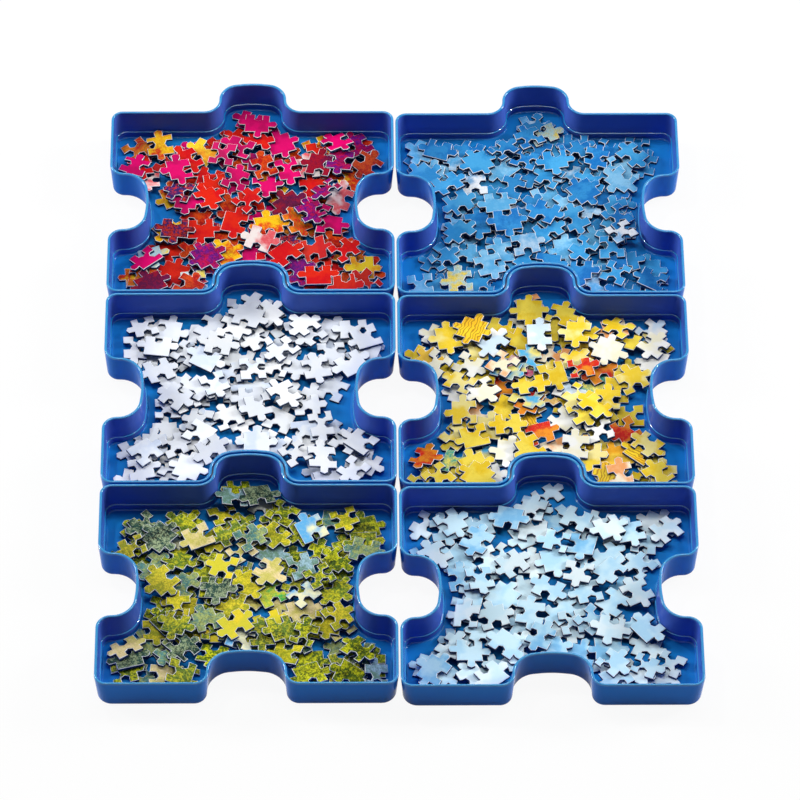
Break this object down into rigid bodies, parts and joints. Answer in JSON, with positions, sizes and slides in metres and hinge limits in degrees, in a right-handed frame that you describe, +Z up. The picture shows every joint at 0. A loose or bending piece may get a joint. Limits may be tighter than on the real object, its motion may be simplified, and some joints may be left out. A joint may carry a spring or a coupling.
{
  "type": "puzzle sorter",
  "caption": "Jigsaw-shaped blue plastic sorting trays standing side by side, each tab in the next tray's notch, full of loose puzzle pieces sorted by colour; each tray lifts off.",
  "frame": {"origin": "under the middle of the whole set, on the surface that it stands on", "axes": "+X across the two columns, +Y along the three rows to the side of the tabs, +Z up"},
  "size_m": [0.409, 0.5368, 0.0265],
  "materials": {
    "tray_plastic": "smooth glossy blue moulded plastic",
    "card_back_left": "coated card, matt cut edges",
    "card_back_right": "coated card, matt cut edges",
    "card_middle_left": "coated card, matt cut edges",
    "card_middle_right": "coated card, matt cut edges",
    "card_front_left": "coated card, matt cut edges",
    "card_front_right": "coated card, matt cut edges"
  },
  "bodies": {
    "front_left": {"tray_front_left": "tray_plastic", "pieces_front_left": "card_front_left"},
    "front_right": {"tray_front_right": "tray_plastic", "pieces_front_right": "card_front_right"},
    "middle_left": {"tray_middle_left": "tray_plastic", "pieces_middle_left": "card_middle_left"},
    "middle_right": {"tray_middle_right": "tray_plastic", "pieces_middle_right": "card_middle_right"},
    "back_left": {"tray_back_left": "tray_plastic", "pieces_back_left": "card_back_left"},
    "back_right": {"tray_back_right": "tray_plastic", "pieces_back_right": "card_back_right"}
  },
  "joints": [
    {"name": "lift_front_right", "type": "slide", "parent": "front_left", "child": "front_right", "axis": [0, 0, 1], "range_m": [0, 0.04]},
    {"name": "lift_middle_left", "type": "slide", "parent": "front_left", "child": "middle_left", "axis": [0, 0, 1], "range_m": [0, 0.04]},
    {"name": "lift_middle_right", "type": "slide", "parent": "front_left", "child": "middle_right", "axis": [0, 0, 1], "range_m": [0, 0.04]},
    {"name": "lift_back_left", "type": "slide", "parent": "front_left", "child": "back_left", "axis": [0, 0, 1], "range_m": [0, 0.04]},
    {"name": "lift_back_right", "type": "slide", "parent": "front_left", "child": "back_right", "axis": [0, 0, 1], "range_m": [0, 0.04]}
  ]
}
